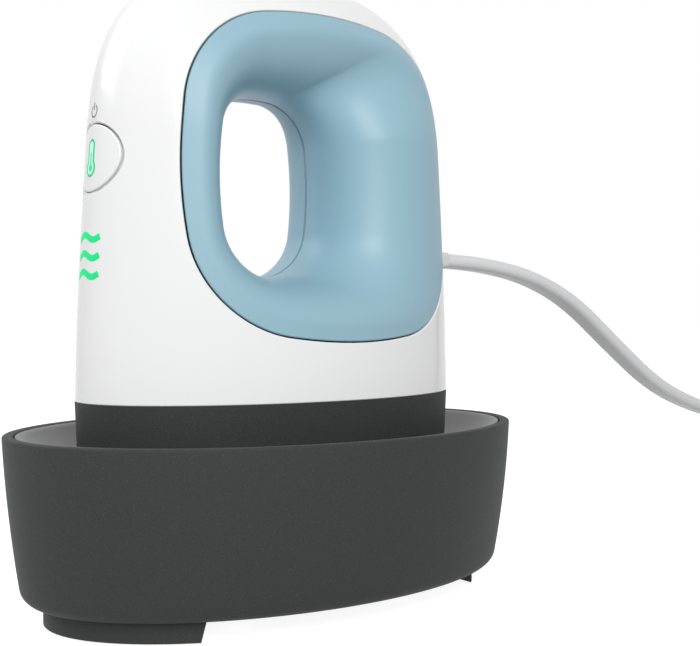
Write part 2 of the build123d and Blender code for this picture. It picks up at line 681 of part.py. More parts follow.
with BuildPart() as switch_body:
    with BuildSketch(Plane.XZ.offset(-control_board_y)):
        with Locations((0, button_z)):
            Rectangle(switch_size, switch_size)
    extrude(amount=switch_depth)
    fillet(switch_body.edges().filter_by(Axis.Y), small_screw_r / 2)
    switch_mouth = control_board_y - switch_depth
    deep = switch_mouth + plunger_root + button_travel + plunger_gap
    add(along_y([(0, button_z)], plunger_r + plunger_gap, switch_mouth, deep), mode=Mode.SUBTRACT)
write(switch_body.part, "switch_body")
write(along_y([(0, button_z)], plunger_r, switch_front, switch_mouth + plunger_root), "switch_plunger")

with BuildPart() as control_board:
    with BuildSketch(Plane.XZ.offset(-control_rear_y)):
        with Locations((0, (control_board_low + control_board_high) / 2)):
            height = control_board_high - control_board_low
            RectangleRounded(control_board_width, height, control_board_corner)
        with Locations(*control_places):
            Circle(small_screw_r + screw_gap, mode=Mode.SUBTRACT)
    extrude(amount=board_thick)
write(control_board.part, "control_board")

behind_board = Plane(origin=(0, control_rear_y, 0), x_dir=(-1, 0, 0), z_dir=(0, 1, 0))
heads = small_screw_head_r, small_screw_head, board_thick + control_post_depth - 0.5
write(screws(control_places, behind_board, small_screw_r, *heads), "control_screws")

with BuildPart() as control_chip:
    with BuildSketch(Plane.XZ.offset(-control_rear_y)):
        with Locations((0, chip_z)):
            Rectangle(chip_size, chip_size)
    extrude(amount=-chip_height)
write(control_chip.part, "control_chip")

with BuildPart() as indicator_leds:
    with BuildSketch(Plane.XZ.offset(-control_board_y)):
        with Locations(*led_places):
            Rectangle(led_width, led_height)
    extrude(amount=led_depth)
write(indicator_leds.part, "indicator_leds")

# ---------------------------------------------------------------- power board
with BuildPart() as power_board:
    with BuildSketch(Plane.XY.offset(power_board_z)):
        RectangleRounded(power_board_width, power_board_length, power_board_corner)
        with Locations(*power_posts):
            Circle(board_screw_r + screw_gap, mode=Mode.SUBTRACT)
    extrude(amount=board_thick)
write(power_board.part, "power_board")

heads = board_screw_head_r, board_screw_head, board_thick + board_screw_depth
write(screws(power_posts, Plane.XY.offset(board_top), board_screw_r, *heads), "board_screws")

with BuildPart() as transformer:
    add(block(0, transformer_y, board_top, *transformer_base))
    add(block(0, transformer_y, board_top + transformer_base[2], *transformer_core))
write(transformer.part, "transformer")
write(block(0, relay_y, board_top, *relay_size), "relay")
write(block(0, terminal_y, board_top, *terminal_size), "terminal_block")
write(posts([(capacitor_x, capacitor_y)], board_top, board_top + capacitor_height, capacitor_r), "capacitor")
write(posts([(buzzer_x, buzzer_y)], board_top, board_top + buzzer_height, buzzer_r), "buzzer")

# ---------------------------------------------------------------- inner wiring
wire_end_y, wire_over_z = power_board_length / 2 - wire_r - 1, board_top + 5.0
with BuildPart() as element_wires:
    for x in (element_leg_x, -element_leg_x):
        turn_y = pin_end + wire_turn
        up = [(x, pin_end, element_z), (x, turn_y, element_z), (x, turn_y, wire_over_z)]
        down = [(x, wire_end_y, wire_over_z), (x, wire_end_y, board_top)]
        add(lead(up + down, wire_bend, wire_r))
write(element_wires.part, "element_wires")

thermistor_wire_z = plate_top + thermistor_size[2] / 2
thermistor_end = thermistor_y - thermistor_size[1] / 2
with BuildPart() as sensor_wires:
    for start, hole_y, z in (
        (thermistor_end, sensor_places[0][1], thermistor_wire_z),
        (fuse_rear + fuse_lead, sensor_places[1][1], fuse_z),
    ):
        points = [(0, start, z), (0, hole_y, z), (0, hole_y, power_board_z)]
        add(lead(points, sensor_bend, sensor_wire_r))
write(sensor_wires.part, "sensor_wires")

with BuildPart() as mains_wires:
    for x in (mains_x, -mains_x):
        start, turn = (x, boot_inner_y, cord_exit_z), (x, mains_y, cord_exit_z)
        add(lead([start, turn, (x, mains_y, board_top + terminal_size[2])], mains_bend, wire_r))
write(mains_wires.part, "mains_wires")

ribbon_y = control_rear_y + ribbon_thick / 2
write(block(0, ribbon_y, board_top, ribbon_width, ribbon_thick, ribbon_top - board_top), "ribbon_cable")

# ---------------------------------------------------------------- cord: boot, clamp, lead, coil, tie, plug
with BuildPart() as strain_relief:
    sections = [
        (boot_inner_y + boot_lip_thick, boot_width, boot_height),
        (body_half(cord_exit_z)[1], boot_width, boot_height),
        (boot_tip_y, boot_tip_width, boot_tip_height),
    ]
    for y, width, height in sections:
        with BuildSketch(Plane.XZ.offset(-y)):
            with Locations((0, cord_exit_z)):
                RectangleRounded(width, height, height * boot_corner)
    loft(ruled=True)
    with BuildSketch(Plane.XZ.offset(-boot_inner_y)):
        with Locations((0, cord_exit_z)):
            RectangleRounded(boot_width, boot_height + boot_lip, boot_lip)
    extrude(amount=-boot_lip_thick)
write(strain_relief.part, "strain_relief")

with BuildPart() as cord_clamp:
    with BuildSketch(Plane.XZ.offset(-boot_inner_y)):
        with Locations((0, cord_exit_z)):
            RectangleRounded(clamp_width, clamp_height, clamp_height / 4)
            SlotOverall(cord_width + 1, cord_thick + 0.2, mode=Mode.SUBTRACT)
        with Locations(*clamp_places):
            Circle(small_screw_r + screw_gap, mode=Mode.SUBTRACT)
    extrude(amount=clamp_thick)
write(cord_clamp.part, "cord_clamp")

clamp_front = Plane(origin=(0, boot_inner_y - clamp_thick, 0), x_dir=(1, 0, 0), z_dir=(0, -1, 0))
heads = small_screw_head_r, small_screw_head, clamp_thick + control_post_depth - 0.5
write(screws(clamp_places, clamp_front, small_screw_r, *heads), "clamp_screws")

corners = [Vector(*p) for p in lead_points]
lead_radii = []
for before, here, after in zip(corners, corners[1:], corners[2:]):
    turn = (here - before).get_angle(after - here)
    shorter = min((here - before).length, (after - here).length)
    lead_radii.append(0.45 * shorter / tan(radians(turn) / 2))
print("lead radii", [round(r, 1) for r in lead_radii])

with BuildPart() as coil_core:
    with BuildSketch(Plane.XY.offset(coil_low)):
        with Locations((coil_x, coil_y)):
            Circle(coil_outer_r)
            Circle(coil_inner_r, mode=Mode.SUBTRACT)
    extrude(amount=coil_height)

with BuildPart() as cord_lead:
    with BuildLine() as lead_path:
        FilletPolyline(*lead_points, radius=lead_radii)
    with BuildSketch(Plane.XZ.offset(-lead_points[0][1])):
        with Locations((0, cord_exit_z)):
            SlotOverall(cord_width, cord_thick)
    sweep(path=lead_path.line, is_frenet=False)
    add(coil_core.part, mode=Mode.SUBTRACT)
write(cord_lead.part, "cord_lead")
lead_length = sum(edge.length for edge in lead_path.edges())
print("lead length", round(lead_length, 1), "volume", round(cord_lead.part.volume, 1))

write(coil_core.part, "cord_coil")

ring_r, ring_width = (coil_outer_r + coil_inner_r) / 2, coil_outer_r - coil_inner_r
ring_plane = Plane(origin=(coil_x, coil_y, coil_low), x_dir=(1, 0, 0), z_dir=(0, 0, 1))
tie_plane = ring_plane.rotated((0, 0, tie_angle))
with BuildPart() as cord_tie:
    with BuildSketch(tie_plane.offset(-tie_thick)):
        with Locations((ring_r, 0)):
            Rectangle(ring_width + 4 * tie_thick, tie_width)
    extrude(amount=coil_height + 2 * tie_thick)
    with BuildSketch(tie_plane):
        with Locations((ring_r, 0)):
            Rectangle(ring_width + 2 * tie_thick, 2 * tie_width)
    extrude(amount=coil_height, mode=Mode.SUBTRACT)
write(cord_tie.part, "cord_tie")

plug_plane = ring_plane.offset(coil_height).rotated((0, 0, plug_angle))
neck_y = plug_shift + plug_length / 2 + plug_neck_length / 2
with BuildPart() as plug_body:
    with BuildSketch(plug_plane):
        with Locations((ring_r, plug_shift)):
            RectangleRounded(plug_width, plug_length, plug_corner)
    extrude(amount=plug_height)
    fillet(plug_body.edges().group_by(Axis.Z)[-1], plug_round)
    with BuildSketch(plug_plane.offset((plug_height - plug_neck_height) / 2)):
        with Locations((ring_r, neck_y)):
            Rectangle(plug_neck_width, plug_neck_length)
    extrude(amount=plug_neck_height)
write(plug_body.part, "plug_body")

blade_y = plug_shift - plug_length / 2 - blade_length / 2
with BuildPart() as plug_blades:
    with BuildSketch(plug_plane.offset((plug_height - blade_height) / 2)):
        with Locations((ring_r - blade_pitch / 2, blade_y), (ring_r + blade_pitch / 2, blade_y)):
            Rectangle(blade_thick, blade_length)
    extrude(amount=blade_height)
write(plug_blades.part, "plug_blades")
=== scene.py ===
"""A mini handheld heat press standing in its safety base, its mains cord wound up behind it.

The frame is in metres, +Z up, floor at z = 0, the press's button towards -Y.
Sizes in this file are in millimetres unless a name says otherwise.
"""
from math import cos, pi, radians, sin

import bmesh
import bpy
import numpy as np
from mathutils import Matrix


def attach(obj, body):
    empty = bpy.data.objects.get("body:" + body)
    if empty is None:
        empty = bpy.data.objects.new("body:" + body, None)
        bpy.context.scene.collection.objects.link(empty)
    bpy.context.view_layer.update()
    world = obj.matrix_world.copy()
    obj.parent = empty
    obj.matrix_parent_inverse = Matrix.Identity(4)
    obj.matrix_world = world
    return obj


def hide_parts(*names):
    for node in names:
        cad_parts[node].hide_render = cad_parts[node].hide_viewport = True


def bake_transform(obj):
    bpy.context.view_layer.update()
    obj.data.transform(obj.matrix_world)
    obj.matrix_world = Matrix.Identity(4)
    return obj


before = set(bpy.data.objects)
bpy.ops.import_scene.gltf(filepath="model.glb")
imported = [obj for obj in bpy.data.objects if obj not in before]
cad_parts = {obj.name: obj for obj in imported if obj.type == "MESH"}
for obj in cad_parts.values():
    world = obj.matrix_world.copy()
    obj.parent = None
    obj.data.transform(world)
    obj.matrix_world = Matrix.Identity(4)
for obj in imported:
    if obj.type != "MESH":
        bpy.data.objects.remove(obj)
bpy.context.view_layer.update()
scene = bpy.context.scene
MM = 0.001

# ============================================================ the view
# A portrait lens at table height, off the press's front right corner, level enough
# that the base's rim is a thin oval.
view_turn, view_rise = radians(54.0), radians(0.686)
view_far, view_right, view_high = 266.335, 17.242, 61.493
right = np.array([cos(view_turn), sin(view_turn), 0.0])
back = np.array([sin(view_turn) * cos(view_rise), -cos(view_turn) * cos(view_rise), sin(view_rise)])
eye = (right * view_right + np.array([0, 0, view_high]) + back * view_far) * MM
stand = np.eye(4)
stand[:3] = np.column_stack([right, np.cross(back, right), back, eye])
camera = bpy.data.objects.new("view", bpy.data.cameras.new("view"))
camera.data.lens, camera.data.sensor_width = 60.96, 36.0
camera.matrix_world = Matrix(stand)
scene.collection.objects.link(camera)
scene.camera = camera

# ============================================================ the safety base
# An injection-moulded charcoal tray on two crescent feet with rubber soles. Its outside is
# spark-textured against scratches; the dish and well inside are a separate satin moulding.


def paint(red, green, blue):
    """A colour given as screen values from 0 to 255, as the shader's linear light values."""
    share = np.array([red, green, blue]) / 255
    linear = np.where(share <= 0.04045, share / 12.92, ((share + 0.055) / 1.055) ** 2.4)
    return (*linear.tolist(), 1.0)


def new_group(name, inputs, outputs):
    """An empty shader group with named sockets, and its first and last node."""
    group = bpy.data.node_groups.new(name, "ShaderNodeTree")
    for way, sockets in (("INPUT", inputs), ("OUTPUT", outputs)):
        for title, kind in sockets:
            group.interface.new_socket(name=title, in_out=way, socket_type="NodeSocket" + kind)
    return group, group.nodes.new("NodeGroupInput"), group.nodes.new("NodeGroupOutput")


def make_skin():
    """The surface of a moulding: slow colour drift, fine grain with lighter flecks, and a grain relief."""
    numbers = ("Drift Size", "Grain Size", "Grain Depth", "Fleck Share", "Gloss", "Gloss Drift")
    inputs = [(title, "Color") for title in ("Colour", "Shade", "Fleck")]
    inputs += [(title, "Float") for title in numbers]
    outputs = [("Colour", "Color"), ("Roughness", "Float"), ("Normal", "Vector")]
    group, given, result = new_group("moulded_skin", inputs, outputs)
    nodes, link = group.nodes, group.links.new
    place = nodes.new("ShaderNodeTexCoord").outputs["Object"]
    drift, grain = nodes.new("ShaderNodeTexNoise"), nodes.new("ShaderNodeTexNoise")
    for noise, size, detail in ((drift, "Drift Size", 2.0), (grain, "Grain Size", 3.0)):
        link(place, noise.inputs["Vector"])
        link(given.outputs[size], noise.inputs["Scale"])
        noise.inputs["Detail"].default_value = detail
    base, flecked = nodes.new("ShaderNodeMix"), nodes.new("ShaderNodeMix")
    base.data_type = flecked.data_type = "RGBA"
    link(drift.outputs["Fac"], base.inputs["Factor"])
    link(given.outputs["Colour"], base.inputs["A"])
    link(given.outputs["Shade"], base.inputs["B"])
    peaks = nodes.new("ShaderNodeMapRange")
    peaks.inputs["From Min"].default_value = 0.56
    peaks.inputs["From Max"].default_value = 0.74
    link(grain.outputs["Fac"], peaks.inputs["Value"])
    link(given.outputs["Fleck Share"], peaks.inputs["To Max"])
    link(peaks.outputs["Result"], flecked.inputs["Factor"])
    link(base.outputs["Result"], flecked.inputs["A"])
    link(given.outputs["Fleck"], flecked.inputs["B"])
    centred, gloss = nodes.new("ShaderNodeMath"), nodes.new("ShaderNodeMath")
    centred.operation, gloss.operation = "SUBTRACT", "MULTIPLY_ADD"
    centred.inputs[1].default_value = 0.5
    link(drift.outputs["Fac"], centred.inputs[0])
    link(centred.outputs[0], gloss.inputs[0])
    link(given.outputs["Gloss Drift"], gloss.inputs[1])
    link(given.outputs["Gloss"], gloss.inputs[2])
    relief = nodes.new("ShaderNodeBump")
    link(grain.outputs["Fac"], relief.inputs["Height"])
    link(given.outputs["Grain Depth"], relief.inputs["Distance"])
    link(flecked.outputs["Result"], result.inputs["Colour"])
    link(gloss.outputs[0], result.inputs["Roughness"])
    link(relief.outputs["Normal"], result.inputs["Normal"])
    return group


skin_group = make_skin()


def finish(name, colour, shade, gloss, drift=60, grain=1500, depth=0.01, flecks=0.0, fleck=None,
           gloss_drift=0.08, **fixed):
    """A material whose colour, roughness and normal come from the skin; depth is in mm, drift and grain
    are waves per metre, and the fixed numbers sit on the shader's own sockets."""
    material = bpy.data.materials.new(name)
    material.use_nodes = True
    tree = material.node_tree
    shader = tree.nodes["Principled BSDF"]
    skin = tree.nodes.new("ShaderNodeGroup")
    skin.node_tree = skin_group
    values = {"Colour": colour, "Shade": shade, "Fleck": fleck or colour, "Drift Size": drift,
              "Grain Size": grain, "Grain Depth": depth * MM, "Fleck Share": flecks, "Gloss": gloss,
              "Gloss Drift": gloss_drift}
    for title, value in values.items():
        skin.inputs[title].default_value = value
    tree.links.new(skin.outputs["Colour"], shader.inputs["Base Color"])
    tree.links.new(skin.outputs["Roughness"], shader.inputs["Roughness"])
    tree.links.new(skin.outputs["Normal"], shader.inputs["Normal"])
    for title, value in fixed.items():
        shader.inputs[title.replace("_", " ")].default_value = value
    return material


def coat(material, names):
    """Puts a material on solid parts that keep their own shape."""
    for name in names.split():
        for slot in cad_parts[name].material_slots:
            slot.material = material


base_charcoal = finish("base_charcoal", paint(48, 50, 50), paint(54, 56, 55), 0.68, drift=45, grain=3400,
                       depth=0.05, flecks=0.6, fleck=paint(76, 79, 77), gloss_drift=0.1,
                       Specular_IOR_Level=0.3)
coat(base_charcoal, "front_foot rear_foot")


def grid_faces(rows, columns, closed=True):
    """Four-sided faces of points laid row after row; closed joins each row's end to its start."""
    across = np.arange(columns if closed else columns - 1)
    along = np.arange(rows - 1)[:, None] * columns
    first, second = along + across, along + (across + 1) % columns
    return np.stack([first, second, second + columns, first + columns], axis=-1).reshape(-1, 4)


def make_piece(name, points, faces, material, body, replaced=(), weld=0.002):
    """A mesh piece from points in millimetres. Points closer than weld are one, so poles and seams
    close."""
    mesh = bpy.data.meshes.new(name)
    mesh.from_pydata((np.asarray(points).reshape(-1, 3) * MM).tolist(), [], faces.tolist())
    work = bmesh.new()
    work.from_mesh(mesh)
    bmesh.ops.remove_doubles(work, verts=work.verts, dist=weld * MM)
    work.to_mesh(mesh)
    work.free()
    mesh.polygons.foreach_set("use_smooth", np.ones(len(mesh.polygons), bool))
    mesh.materials.append(material)
    piece = bpy.data.objects.new(name, mesh)
    scene.collection.objects.link(piece)
    if body:
        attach(piece, body)
    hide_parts(*replaced)
    return piece


oval_turn = np.linspace(0, 2 * pi, 241)[:-1]
under_z, rim_z = 4.75, 38.8
under_half, rim_half = np.array([35.9, 57.3]), np.array([42.15, 60.5])
under_back, base_wall, base_corner, rim_round, floor_thick = 0.5, 2.3, 3.0, 0.45, 2.4


def ovals(z, half_x, half_y, middle=0.0):
    """Level ovals as rows of points: x = half_x cos(turn), y = middle + half_y sin(turn)."""
    z, half_x, half_y, middle = (np.atleast_1d(v)[:, None] for v in (z, half_x, half_y, middle))
    x, y = half_x * np.cos(oval_turn), middle + half_y * np.sin(oval_turn)
    return np.stack(np.broadcast_arrays(x, y, z), -1)


def base_ovals(z, inset):
    """The base's ovals at heights, set in by distances. From the underside to the rim, t, their half sizes
    grow with 0.4 t + 0.6 (1 - (1 - t)^2), and their middle comes forward."""
    z = np.asarray(z, float)
    t = (z - under_z) / (rim_z - under_z)
    swell = 0.4 * t + 0.6 * (1 - (1 - t) ** 2)
    half_x, half_y = (under_half[k] + swell * (rim_half[k] - under_half[k]) - inset for k in (0, 1))
    return ovals(z, half_x, half_y, under_back * (1 - t))


def quarter(radius, start, end, count=7):
    """Sines and cosines along an arc, times its radius, for a rounded edge."""
    angle = np.radians(np.linspace(start, end, count))
    return radius * np.sin(angle), radius * np.cos(angle)


def base_shell_rows():
    """From the underside's middle out round the bottom corner, up the wall, over the rim and down
    inside."""
    low_sin, low_cos = quarter(base_corner, -90, 0, 9)
    rim_sin, rim_cos = quarter(rim_round, 0, 90)
    wall = np.linspace(under_z + base_corner, rim_z - rim_round, 26)[1:-1]
    inside = np.linspace(rim_z - rim_round, under_z + floor_thick, 14)
    z = [under_z + base_corner + low_sin, wall, rim_z - rim_round + rim_sin,
         rim_z - rim_round + rim_sin[::-1], inside[1:]]
    inset = [base_corner - low_cos, 0 * wall, rim_round - rim_cos,
             base_wall - rim_round + rim_cos[::-1], 0 * inside[1:] + base_wall]
    rows = base_ovals(np.concatenate(z), np.concatenate(inset))
    poles = [np.zeros((1, len(oval_turn), 3)) + (0, 0, level) for level in (under_z, under_z + floor_thick)]
    return np.concatenate([poles[0], rows, poles[1]])


shell_rows = base_shell_rows()
make_piece("base_tray", shell_rows, grid_faces(*shell_rows.shape[:2]), base_charcoal, "base",
           ["base_shell"])

liner_gap, liner_wall, liner_round, liner_drop = 0.3, 2.0, 0.3, 0.1
dish_floor, well_floor, dish_power = 33.4, 13.0, 1.6
dish_inset, lip_round, under_out = 0.9, 0.6, 0.8 * liner_wall
well_half, well_foot = np.array([27.3, 47.4]), np.array([25.5, 45.6])


def liner_rows():
    """From the well's middle up its wall, out over the dish, round the edge and back underneath. On the way
    out, t, the dish rises as a power of t."""
    edge = base_ovals([rim_z - liner_drop], base_wall + liner_gap)[0]
    edge_half = np.array([edge[:, 0].max(), edge[:, 1].max()])
    t = np.linspace(0, 1, 22)[:-1]
    dish_z = dish_floor + (rim_z - liner_drop - dish_floor) * t**dish_power
    dish_half = well_half + t[:, None] * (edge_half - dish_inset - well_half)
    rise = np.linspace(0, 1, 12)
    well = well_foot + rise[:, None] * (well_half - lip_round - well_foot)
    lip_sin, lip_cos = quarter(lip_round, 180, 90, 6)
    edge_sin, edge_cos = quarter(liner_round, 90, 0, 5)
    top_z = np.concatenate([well_floor + rise * (dish_floor - lip_round - well_floor),
                            dish_floor - lip_round + lip_sin[1:], dish_z[1:],
                            rim_z - liner_drop - liner_round + edge_sin])
    top_half = np.concatenate([well, well_half + lip_cos[1:, None], dish_half[1:],
                               edge_half - liner_round + edge_cos[:, None]])
    low_t = t[::-1]
    low_z = np.concatenate([[rim_z - liner_drop - liner_wall], dish_floor - liner_wall
                            + (rim_z - liner_drop - dish_floor) * low_t**dish_power,
                            [well_floor - liner_wall]])
    low_half = np.concatenate([[edge_half], dish_half[::-1] + under_out, [well_foot + liner_wall]])
    z, half = np.concatenate([top_z, low_z]), np.concatenate([top_half, low_half])
    rows = ovals(z, half[:, 0], half[:, 1])
    levels = (well_floor, well_floor - liner_wall)
    poles = [np.zeros((1, len(oval_turn), 3)) + (0, 0, level) for level in levels]
    return np.concatenate([poles[0], rows, poles[1]])


liner_grey = finish("liner_grey", paint(90, 91, 91), paint(98, 99, 98), 0.4, drift=50, grain=3200,
                    depth=0.008)
liner = liner_rows()
make_piece("base_dish", liner, grid_faces(*liner.shape[:2]), liner_grey, "base",
           ["base_liner"])

# Four posts under the dish take the base's screws
post_bore, post_radius, post_foot, post_top = 1.3, 4.0, 7.3, well_floor - 1.0
post_places = [(x, y) for x in (-18, 18) for y in (-20, 20)]
post_profile = np.array([(post_bore, post_foot), (post_radius, post_foot), (post_radius, post_top),
                         (post_bore, post_top), (post_bore, post_foot)])
post_turn = np.linspace(0, 2 * pi, 33)[:-1]
post_ring = np.stack([np.cos(post_turn), np.sin(post_turn), 0 * post_turn], -1)
post_rows = post_profile[:, None, :1] * post_ring + post_profile[:, None, 1:] * (0, 0, 1)
posts = np.concatenate([post_rows.reshape(-1, 3) + (x, y, 0) for x, y in post_places])
post_faces = grid_faces(*post_rows.shape[:2])
post_faces = np.concatenate([post_faces + k * post_rows[..., 0].size for k in range(len(post_places))])
make_piece("dish_posts", posts, post_faces, liner_grey, "base")
pad_rubber = finish("pad_rubber", paint(38, 38, 38), paint(46, 46, 45), 0.75, drift=120, grain=1800,
                    depth=0.03)
coat(pad_rubber, "foot_pads rest_pads")
screw_steel = finish("screw_steel", paint(176, 176, 172), paint(150, 151, 150), 0.34, drift=900,
                     grain=4000, depth=0.006, Metallic=1.0)
coat(screw_steel, "base_screws board_screws chassis_screws clamp_screws control_screws plate_screws")

# ============================================================ the hot plate and its heater
# A die-cast plate with a ceramic-coated sole, a tubular element in its groove, a thermistor
# and a clipped thermal fuse on top, then a felt blanket, a bright shield and steel standoffs.
sole_coat = finish("sole_coat", paint(70, 70, 73), paint(84, 84, 86), 0.28, drift=90, grain=2200,
                   depth=0.006, flecks=0.5, fleck=paint(120, 120, 122), Coat_Weight=0.3)
coat(sole_coat, "heat_plate")
element_steel = finish("element_steel", paint(120, 108, 96), paint(150, 140, 128), 0.42, drift=220,
                       grain=3000, depth=0.01, Metallic=1.0)
coat(element_steel, "heating_element element_pins fuse_clip plate_standoffs")
shield_metal = finish("shield_metal", paint(206, 207, 208), paint(186, 188, 190), 0.24, drift=150,
                      grain=2600, depth=0.01, Metallic=1.0)
coat(shield_metal, "heat_shield capacitor")
blanket_fibre = finish("blanket_fibre", paint(232, 228, 218), paint(210, 204, 190), 0.95, drift=400,
                       grain=1100, depth=0.35, flecks=0.5, fleck=paint(246, 243, 236))
coat(blanket_fibre, "insulation_blanket")
part_black = finish("part_black", paint(40, 40, 42), paint(50, 50, 52), 0.5, drift=200, grain=2400,
                    depth=0.02)
coat(part_black, "thermistor thermal_fuse relay transformer control_chip buzzer switch_body switch_plunger")

# ============================================================ the collar and the chassis
# A dark heat-resistant ring joins the plate's stack to the white body; a natural-coloured
# chassis closes it off inside and carries the power board.
collar_black = finish("collar_black", paint(43, 44, 44), paint(51, 52, 52), 0.66, drift=60, grain=3400,
                      depth=0.06, flecks=0.6, fleck=paint(74, 76, 75), Specular_IOR_Level=0.3)
coat(collar_black, "heat_collar")
frame_plastic = finish("frame_plastic", paint(206, 203, 192), paint(190, 187, 176), 0.5, drift=80,
                       grain=1600, depth=0.02)
coat(frame_plastic, "chassis cord_clamp")

# ============================================================ the white body
# One glossy white shell, an oval that leans in and closes in a dome, with an opening on each
# side for a grip and holes for the button and the cord's boot.
collar_top, shoulder, crown = 45.5, 101.0, 138.5
dome = crown - shoulder
half_length, half_width = 46.0, 25.9
lean_across, lean_along, lean_curve = 0.006, 0.029, 0.0004
crown_across, crown_along = 1.7, 3.05
body_wall, edge_round = 2.2, 0.3
boot_z, boot_hole = 76.6, (4.95, 2.95, 2.2)
button_z, button_half, button_gap = 95.25, (8.45, 6.85), np.array([0.55, 0.25])


def body_half(climb):
    """Half width, half length and height of the body's oval. Climb is the height up to the shoulder; past
    it, it is the way along a quarter circle to the crown, so the oval closes smoothly."""
    turn = np.clip((climb - shoulder) / dome, 0, pi / 2)
    z = np.minimum(climb, shoulder) + dome * np.sin(turn)
    rise, u = z - collar_top, np.sin(turn)
    across = (half_width - lean_across * rise) * np.clip(1 - u**crown_across, 0, 1) ** (1 / crown_across)
    along = half_length - lean_along * rise - lean_curve * rise**2
    along = along * np.clip(1 - u**crown_along, 0, 1) ** (1 / crown_along)
    return across, along, z


def climb_to(z):
    """The climb that reaches a height: the height itself, or the quarter circle's arc past the shoulder."""
    return np.where(z > shoulder, shoulder + dome * np.arcsin(np.clip((z - shoulder) / dome, 0, 1)), z)


def body_point(turn, climb):
    """The body's surface: x = across cos(turn), y = along sin(turn), at the oval that climb reaches."""
    across, along, z = body_half(climb)
    return np.stack([across * np.cos(turn), along * np.sin(turn), z], axis=-1)


def front_skin(x, z, proud=0.0):
    """The body's front face over (x, z), standing proud towards -Y."""
    across, along, height = body_half(climb_to(z))
    return np.stack([x, -along * np.sqrt(1 - (x / across) ** 2) - proud, height], axis=-1)


def side_turn(y, climb):
    """The turn at which the body's surface passes y, on its +X side."""
    return np.arcsin(np.clip(y / body_half(climb)[1], -1, 1))


class SoftSquare:
    """A square of four gently bulging sides and round corners, as (y, z) points round a centre.

    Each quadrant is a side arc, a corner arc and a top arc with one normal where they meet, so a point is
    its arc's centre plus (radius - inset) times the normal at an angle."""

    def __init__(self, half_y, half_z, bulge, corner, centre):
        edge_y, edge_z = half_y - bulge, half_z - bulge
        side_r, top_r = (edge_z**2 + bulge**2) / (2 * bulge), (edge_y**2 + bulge**2) / (2 * bulge)
        u, v = half_y - corner, half_z - corner
        for _ in range(40):
            u = ((side_r - corner) ** 2 - v**2) ** 0.5 - (side_r - half_y)
            v = ((top_r - corner) ** 2 - u**2) ** 0.5 - (top_r - half_z)
        self.centres = np.array([[half_y - side_r, 0.0], [u, v], [0.0, half_z - top_r]])
        self.radii = np.array([side_r, corner, top_r])
        self.first = np.arctan2(v, u - (half_y - side_r))
        self.last = np.arctan2(v - (half_z - top_r), u)
        self.centre = np.array(centre)
        self.angles = np.linspace(0, 2 * pi, 24001)
        steps = np.linalg.norm(np.diff(self.at(self.angles), axis=0), axis=1)
        self.way = np.concatenate([[0], np.cumsum(steps)])

    def at(self, angle, inset=0.0):
        """The outline's points whose normals point at these angles, set in by a distance."""
        normal = np.stack([np.cos(angle), np.sin(angle)], axis=-1)
        folded = np.arctan2(abs(normal[..., 1]), abs(normal[..., 0]))
        arc = (folded > self.first).astype(int) + (folded > self.last)
        signs = np.where(normal < 0, -1.0, 1.0)
        reach = (self.radii[arc] - inset)[..., None]
        return self.centre + self.centres[arc] * signs + reach * normal

    def even(self, start, end, count):
        """Angles spaced evenly along the outline from one angle to another, without the last."""
        turns, rest = np.divmod([start, end], 2 * pi)
        low, high = turns * self.way[-1] + np.interp(rest, self.angles, self.way)
        way = np.linspace(low, high, count + 1)[:-1] % self.way[-1]
        return np.interp(way, self.way, self.angles)

    def angle_at(self, z, rear):
        """The angle where the rear or front side passes a height."""
        trial = np.linspace(-pi / 4, pi / 4, 4001) if rear else np.linspace(3 * pi / 4, 5 * pi / 4, 4001)
        heights = self.at(trial % (2 * pi))[:, 1]
        order = np.argsort(heights)
        return np.interp(z, heights[order], trial[order])


def loop_steps(points, count):
    """Points spaced evenly along a fine run of points, without the last."""
    way = np.concatenate([[0], np.cumsum(np.linalg.norm(np.diff(points, axis=0), axis=1))])
    at = np.linspace(0, way[-1], count + 1)[:-1]
    return np.stack([np.interp(at, way, points[:, k]) for k in range(points.shape[1])], axis=1)


def button_outline(grown=(0, 0), start=pi / 2, end=-3 * pi / 2):
    """The button's oval as (x, z), clockwise from its top, with a gap grown round it. The gap is wider at
    the sides, where the edge of the hole leans in and the button travels."""
    angle = np.linspace(start, end, 2001)
    return np.stack([(button_half[0] + grown[0]) * np.cos(angle),
                     button_z + (button_half[1] + grown[1]) * np.sin(angle)], axis=1)


def thicken(piece, wall, rounding=0.0):
    """Gives a surface its wall, inwards, and rounds its edges."""
    solid = piece.modifiers.new("wall", "SOLIDIFY")
    solid.thickness, solid.offset, solid.use_even_offset = wall * MM, -1.0, True
    if rounding:
        bevel = piece.modifiers.new("edge", "BEVEL")
        bevel.width, bevel.segments, bevel.limit_method = rounding * MM, 3, "ANGLE"
        bevel.angle_limit, bevel.use_clamp_overlap, bevel.harden_normals = radians(50), False, True


opening = SoftSquare(37.2, 35.25, 4.8, 23.9, (4.7, 92.8))


